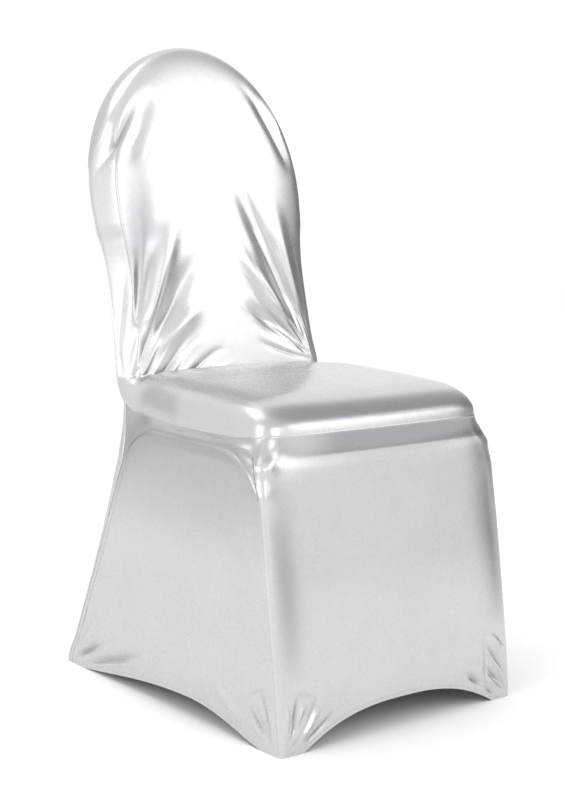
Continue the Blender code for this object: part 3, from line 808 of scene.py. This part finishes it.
def skirt_side(top, front_edge, rear_edge):
    """Right side of the skirt, between the edges of the front and the rear: the band, then the rest."""
    share = 0.5 + 0.5 * crowded(len(top) - 1 - 2 * STRIP_COLUMNS)
    low, high = side_edges(np.array(ARCH_FRONT["z"]))[0], side_edges(np.array(ARCH_REAR["z"]))[1]
    arch_y = with_strips(front_edge[ROWS_BAND, 1], low, high, rear_edge[ROWS_BAND, 1], share)
    arch_z = arch(arch_y, low, high)
    floor = side_edges(np.array(0.0))
    inner = np.concatenate([np.zeros(STRIP_COLUMNS), share, np.ones(STRIP_COLUMNS)])
    hem_z = hem_side(floor[0] + inner * (floor[1] - floor[0]))
    made = []
    for k, step in enumerate(np.linspace(0, 1, ROWS_BAND + 1)):
        y, z = top[:, 1] + (arch_y - top[:, 1]) * step, top[:, 2] + (arch_z - top[:, 2]) * step
        fix = (top[:, 0] - side_x(top[:, 1], top[:, 2])) * (1 - ease(step, 0, 0.8))
        row = np.stack([side_x(y, z) + fix, y, z], -1)
        # The two ends of the row are brought onto the edges that it is sewn to
        along = (y - y[0]) / (y[-1] - y[0])
        row += (front_edge[k] - row[0]) * (1 - ease(along, 0, 0.3))[:, None]
        row += (rear_edge[k] - row[-1]) * ease(along, 0.7, 1)[:, None]
        made.append(row)
    for k, step in enumerate(SKIRT_STEPS[1:], start=1):
        z = arch_z + (hem_z - arch_z) * step
        near, far = side_edges(z)
        flat_part = slice(STRIP_COLUMNS, len(z) - STRIP_COLUMNS)
        ends = front_edge[ROWS_BAND + k, 1], rear_edge[ROWS_BAND + k, 1]
        y = with_strips(ends[0], near[0], far[-1], ends[1], share)
        y[flat_part] = (near + inner * (far - near))[flat_part]
        hollow = SIDE_HOLLOW * (1 - (2 * inner - 1) ** 4) * ease(step, 0, 0.25) * (1 - ease(step, 0.45, 1))
        made.append(np.stack([side_x(y, z) - hollow, y, z], -1))
    made = np.array(made)
    made[:, 0], made[:, -1] = front_edge, rear_edge
    return made


# Creases at the front feet, seen from the front: X and height, in millimetres, as in the table above
FRONT_FOOT_FOLDS = (
    (155, 100, 155, 52, 153, 8, 1.6, -2.1),
    (158, 84, 175, 61, 190, 41, 3.0, -3.0),
    (154, 54, 170, 38, 184, 24, 2.6, -2.8),
    (154, 41, 165, 32, 176, 21, 2.4, 2.4),
    (153, 23, 162, 16, 172, 9, 2.2, -2.4),
    (176, 83, 186, 75, 197, 66, 2.4, 2.2),
    (164, 92, 182, 80, 194, 52, 3.0, 2.2),
    (118, 47, 132, 38, 149, 27, 5.0, -2.7),
    (-180, 34, -172, 50, -164, 66, 3.0, 3.3),
    (-177, 14, -158, 33, -138, 56, 4.0, 3.6),
    (-186, 24, -180, 48, -176, 74, 3.0, -3.0),
    (-168, 12, -145, 24, -118, 44, 4.0, -3.3),
    (-196, 20, -192, 46, -190, 70, 2.6, 2.4),
    (-170, 30, -155, 48, -144, 68, 3.0, -2.4),
    (-192, 76, -166, 74, -138, 62, 1.8, -1.2),
    (-120, 60, -80, 100, -30, 150, 16.0, 1.2),
)
# Wide slopes of the front beside its corners, in the same way
FRONT_SLOPES = (
    (203, 385, 203, 250, 204, 110, 30.0, -7.0),
    (-179, 340, -179, 215, -180, 85, 18.0, -3.2),
)
# Where the chair's frame presses on the cloth at the front corners: place, radii and height
KNEES = (
    ((-0.196, -0.2250, 0.364), (0.019, 0.021, 0.017), 0.0078),
    ((-0.198, -0.2320, 0.325), (0.016, 0.018, 0.018), 0.0042),
    ((0.205, -0.2185, 0.362), (0.012, 0.013, 0.013), 0.0030),
)


def painted_shade_under_seat(grid):
    """Painted shade high on the sides, under the seat, fading out lower down."""
    return HIGH_SHADE * ease(grid[..., 2], 0.20, 0.36)


def pressed_out(grid):
    """Cloth pushed out by the chair's frame, in one direction for each knee."""
    moved = grid.copy()
    for place, radii, height in KNEES:
        way = np.array([place[0], place[1], 0]) / math.hypot(place[0], place[1])
        moved += way * (height * np.exp(-(((grid - place) / radii) ** 2).sum(-1)))[..., None]
    return moved


# Finer creases out of the two front feet
FRONT_FOOT_FOLDS += pulled_folds((-203, 2), (28, 84), (40, 92), (1.6, 2.8), (0.7, 1.4), 12)
FRONT_FOOT_FOLDS += pulled_folds((203, 2), (152, 96), (40, 92), (1.6, 2.8), (0.7, 1.4), 12)
half_at_floor = LEGS["front_half"][0]
front_hem = hem_across(columns * half_at_floor, half_at_floor, HEM_FRONT)
front_skirt = skirt_across(columns, pad[-1], front_plan, ARCH_FRONT["z"], front_hem)
right_side = skirt_side(pad[last_back:, -1][::-1], front_skirt[:, -1], rear_skirt[:, -1])
left_side = right_side * [-1, 1, 1]
left_side[:, 0], left_side[:, -1], left_side[0] = front_skirt[:, 0], rear_skirt[:, 0], pad[last_back:, 0][::-1]
front_skirt, right_side, left_side = (pressed_out(grid) for grid in (front_skirt, right_side, left_side))

side_shape = right_side.shape[:2]
panel_quads = np.zeros(np.subtract(side_shape, 1), bool)
panel_quads[ROWS_BAND:, STRIP_COLUMNS:-STRIP_COLUMNS] = True
no_folds = np.zeros(side_shape)
front_heights = sharp_folds(front_skirt[..., 0], front_skirt[..., 2], FRONT_FOOT_FOLDS)
front_heights += sharp_folds(front_skirt[..., 0], front_skirt[..., 2], FRONT_SLOPES)
front_heights = front_heights * (1 - np.abs(columns) ** 20)
# Painted shade on the tucked band just under the seat seam, lighter towards the left corner
below_seam = front_skirt[:1, :, 2] - front_skirt[..., 2]
band_shade = ease(below_seam, 1 * MM, 3 * MM)
band_shade = band_shade * (1 - ease(below_seam, BAND_DEPTH - BAND_SOFT, BAND_DEPTH + BAND_SOFT))
band_shade = band_shade * (0.35 + 0.65 * ease(columns, -0.75, -0.35)) * BAND_SHADE
skirt = cloth_piece(
    "skirt_cloth",
    [
        (
            front_skirt,
            grid_normals(front_skirt, False),
            front_heights,
            band_shade,
            np.ones(np.subtract(front_skirt.shape[:2], 1), bool),
        ),
        (right_side, grid_normals(right_side, False), no_folds, painted_shade_under_seat(right_side), ~panel_quads),
        (left_side, grid_normals(left_side, True), no_folds, painted_shade_under_seat(left_side), ~panel_quads),
    ],
    at_hem,
)
skirt.data.materials.append(foil_coated_knit("foil_knit_skirt"))
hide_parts("skirt")


# ---------------------------------------------------------------- Side panels
# Two panels set in under an arch seam, one on each side. Each is stretched flat between a front
# and a rear leg, so it hollows in a little and creases only near the feet.

# Seen from the side: Y and height, in millimetres
SIDE_FOOT_FOLDS = (
    (-220, 66, -231, 50, -245, 34, 3.0, 3.3),
    (-214, 34, -225, 24, -237, 14, 3.0, 3.0),
    (-228, 78, -238, 56, -250, 30, 3.0, -3.0),
    (-236, 70, -245, 50, -256, 26, 2.4, 2.4),
    (-205, 52, -220, 36, -240, 20, 3.0, -2.7),
    (-200, 62, -218, 74, -246, 78, 1.8, -1.2),
    (238, 16, 200, 31, 160, 50, 4.0, -3.0),
    (222, 6, 130, 34, 50, 58, 5.0, -2.8),
    (200, 8, 125, 26, 58, 41, 4.0, 2.4),
    (246, 30, 215, 60, 182, 96, 5.0, 2.7),
    (190, 74, 189, 50, 187, 26, 1.8, -1.2),
    (-190, 20, -150, 46, -100, 80, 7.0, 1.8),
)
SIDE_FOOT_FOLDS += pulled_folds((-258, 2), (30, 82), (35, 88), (1.6, 2.8), (0.7, 1.4), 11)
SIDE_FOOT_FOLDS += pulled_folds((246, 4), (166, 112), (50, 150), (1.8, 3.2), (0.7, 1.3), 11)
for side, grid in (("left", left_side), ("right", right_side)):
    inward = grid_normals(grid, side == "left")
    heights = sharp_folds(grid[..., 1], grid[..., 2], SIDE_FOOT_FOLDS)
    side_panel = cloth_piece(f"side_cloth_{side}", [(grid, inward, heights, painted_shade_under_seat(grid), panel_quads)], at_hem)
    side_panel.data.materials.append(foil_coated_knit(f"foil_knit_side_{side}"))
    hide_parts(f"side_panel_{side}")


# ---------------------------------------------------------------- Foot pockets
# A small cup of the same knit, doubled over and sewn inside each corner of the hem. The leg's
# end stands in it, which keeps the whole cover taut.

CLOTH = 0.0015  # thickness of the skirt's solid, which the pocket stands inside of
CAP_HEIGHT = {"front": 0.080, "rear": 0.050}
CAP_REACH = 0.034
CAP_DEPTH = 0.048
CAP_BEND = 0.008
CAP_GAP = {"front": 0.0009, "rear": 0.0018}
CAP_TAPER = 0.04
CAP_LIFT = 0.2 * MM
CAP_LEVELS = 12
CAP_SIDE_STEPS = {"front": 12, "rear": 10}
CAP_STEPS = 20


def pocket_ring(z, rear):
    """Outline of a foot pocket at a height: the skirt's corner moved in, closed by two straight sides."""
    level = np.full(CAP_STEPS, z)
    turn = 1 - np.sin(np.linspace(0, math.pi / 2, CAP_STEPS))
    if rear:
        a = 1 - turn * CAP_REACH / float(legs("rear_half", z))
        across = rear_plan(a, level)[:, :2]
        depth = CAP_DEPTH - (across[0, 1] - across[-1, 1])
        y = across[-1, 1] - np.linspace(0, 1, CAP_SIDE_STEPS["rear"] + 1)[1:] * depth
    else:
        half, corner = float(legs("front_half", z)), float(legs("corner", z))
        a = 1 - turn * CAP_REACH / (half - corner + corner * math.pi / 4)
        across = front_plan(a, level)[:, :2]
        y = across[-1, 1] + np.linspace(0, 1, CAP_SIDE_STEPS["front"] + 1)[1:] ** 1.6 * CAP_REACH
    line = np.concatenate([across, np.stack([side_x(y, np.full_like(y, z)), y], 1)])
    along = np.gradient(line, axis=0)
    along /= np.maximum(np.linalg.norm(along, axis=1), 1e-9)[:, None]
    way = np.stack([-along[:, 1], along[:, 0]], 1) * (-1 if rear else 1)
    line = line + way * (CLOTH + CAP_GAP["rear" if rear else "front"] + CAP_TAPER * z)
    inside = np.array([line[0, 0], line[-1, 1]])
    close = [inside + (p - inside) / np.linalg.norm(p - inside) * CAP_BEND for p in (line[-1], line[0])]
    return np.concatenate([line, close])


for end in ("front", "rear"):
    for side in ("left", "right"):
        rings = []
        for z in np.linspace(0, CAP_HEIGHT[end], CAP_LEVELS):
            ring = pocket_ring(z, end == "rear") * [-1 if side == "left" else 1, 1]
            rings.append(np.column_stack([ring, np.full(len(ring), z + CAP_LIFT)]))
        count = len(rings[0])
        places = np.concatenate(rings)
        faces = [list(range(count))]
        for k in range(CAP_LEVELS - 1):
            for n in range(count):
                m = (n + 1) % count
                faces.append([k * count + n, k * count + m, (k + 1) * count + m, (k + 1) * count + n])
        mesh = bpy.data.meshes.new(f"foot_pocket_{end}_{side}")
        mesh.from_pydata([Vector(p) for p in places], [], faces)
        form = bmesh.new()
        form.from_mesh(mesh)
        bmesh.ops.recalc_face_normals(form, faces=form.faces)
        sole = min(form.faces, key=lambda f: f.calc_center_median().z)
        if sole.normal.z > 0:
            bmesh.ops.reverse_faces(form, faces=form.faces)
        form.to_mesh(mesh)
        form.free()
        for polygon in mesh.polygons:
            polygon.use_smooth = True
        pocket = bpy.data.objects.new(f"foot_pocket_{end}_{side}", mesh)
        bpy.context.scene.collection.objects.link(pocket)
        wall = pocket.modifiers.new("thickness", "SOLIDIFY")
        wall.thickness = DRAWN_CLOTH
        wall.offset = -1
        pocket.data.materials.append(foil_coated_knit(f"foil_knit_pocket_{end}_{side}"))
        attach(pocket, "root")
        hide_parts(f"foot_cap_{end}_{side}")


# ---------------------------------------------------------------- Studio
# A pale floor, soft lights and the camera at the photograph's angle.

FLOOR_RADIUS = 14
# Painted shade on the floor: it is a little greyer round the cover, as under a lit sweep of paper
FLOOR_NEAR_SHADED, FLOOR_FAR = "#FAFAFA", "#FFFFFF"
FADE_FROM, FADE_TO = 0.3, 2.6

bpy.ops.mesh.primitive_circle_add(vertices=96, radius=FLOOR_RADIUS, fill_type="NGON")
floor = bpy.context.object
floor.name = "studio_floor"
paint = bpy.data.materials.new("pale_floor")
paint.use_nodes = True
spot = paint.node_tree
from_middle = add_node(
    spot,
    "ShaderNodeVectorMath",
    {"operation": "LENGTH"},
    None,
    {0: add_node(spot, "ShaderNodeTexCoord").outputs["Object"]},
)
far = add_node(
    spot,
    "ShaderNodeMapRange",
    {"interpolation_type": "SMOOTHSTEP"},
    {"From Min": FADE_FROM, "From Max": FADE_TO, "To Min": 0.0, "To Max": 1.0},
    {"Value": from_middle.outputs["Value"]},
)
tone = add_node(
    spot,
    "ShaderNodeMix",
    {"data_type": "RGBA"},
    {"A": linear(FLOOR_NEAR_SHADED), "B": linear(FLOOR_FAR)},
    {"Factor": far.outputs["Result"]},
)
spot.links.new(tone.outputs[2], spot.nodes["Principled BSDF"].inputs["Base Color"])
spot.nodes["Principled BSDF"].inputs["Roughness"].default_value = 0.9
floor.data.materials.append(paint)

STUDIO_LIGHT = 1.12
world = bpy.data.worlds.new("studio")
bpy.context.scene.world = world
world.use_nodes = True
sky = world.node_tree
facing = add_node(sky, "ShaderNodeTexCoord").outputs["Generated"]
# White walls all round, with grey screens that give the cloth its darker edges. Each screen has the
# way it stands from the cover, the cosines where it starts and is full, and what it leaves of the light
SCREENS = {
    "right": {"way": (0.985, -0.06, 0.0), "start": 0.68, "full": 0.95, "leaves": 0.24},
    "right_high": {"way": (0.60, -0.12, 0.79), "start": 0.80, "full": 0.97, "leaves": 0.68},
    "behind_left": {"way": (-0.17, 0.98, 0.05), "start": 0.90, "full": 0.985, "leaves": 0.60},
    "front_low": {"way": (0.35, -0.86, -0.36), "start": 0.82, "full": 0.90, "leaves": 0.88},
}
light_left = None
for screen in SCREENS.values():
    toward = add_node(sky, "ShaderNodeVectorMath", {"operation": "DOT_PRODUCT"}, None, {0: facing})
    toward.inputs[1].default_value = Vector(screen["way"]).normalized()
    leaves = add_node(
        sky,
        "ShaderNodeMapRange",
        {"interpolation_type": "SMOOTHSTEP"},
        {"From Min": screen["start"], "From Max": screen["full"], "To Min": 1.0, "To Max": screen["leaves"]},
        {"Value": toward.outputs["Value"]},
    ).outputs["Result"]
    if light_left is not None:
        both = add_node(sky, "ShaderNodeMath", {"operation": "MULTIPLY"}, None, {0: light_left, 1: leaves})
        leaves = both.outputs[0]
    light_left = leaves
sky.links.new(light_left, sky.nodes["Background"].inputs["Color"])
sky.nodes["Background"].inputs["Strength"].default_value = STUDIO_LIGHT

# Softboxes, all turned to the middle of the cover
LIT_POINT = (0, 0, 0.6)
SOFTBOXES = {
    "front_right": {"place": (1.9, -2.4, 1.78), "size": (2.4, 1.3), "watts": 13.5},
    "front": {"place": (-0.6, -3.0, 1.5), "size": (1.3, 1.3), "watts": 8},
    "front_left": {"place": (-2.9, -0.9, 1.6), "size": (1.7, 2.2), "watts": 16},
    "above": {"place": (-0.9, 0.6, 2.9), "size": (1.6, 1.6), "watts": 11},
}
for light_name, box in SOFTBOXES.items():
    lamp = bpy.data.lights.new(light_name, "AREA")
    lamp.shape = "RECTANGLE"
    lamp.size, lamp.size_y = box["size"]
    lamp.energy = box["watts"]
    stand = bpy.data.objects.new(light_name, lamp)
    stand.location = box["place"]
    stand.rotation_euler = (Vector(LIT_POINT) - stand.location).to_track_quat("-Z", "Y").to_euler()
    bpy.context.scene.collection.objects.link(stand)

# The camera that was fitted to the photograph
LENS_MM, SENSOR_MM = 66.31, 36
CAMERA_AT = (-1.28439, -1.65908, 0.66080)
CAMERA_LOOKS_AT = (-0.0015, -0.0115, 0.4096)
lens = bpy.data.cameras.new("photo_angle")
lens.lens = LENS_MM
lens.sensor_width = SENSOR_MM
camera = bpy.data.objects.new("photo_angle", lens)
camera.location = CAMERA_AT
camera.rotation_euler = (Vector(CAMERA_LOOKS_AT) - camera.location).to_track_quat("-Z", "Y").to_euler()
bpy.context.scene.collection.objects.link(camera)
bpy.context.scene.camera = camera
bpy.context.scene.view_settings.view_transform = "Standard"
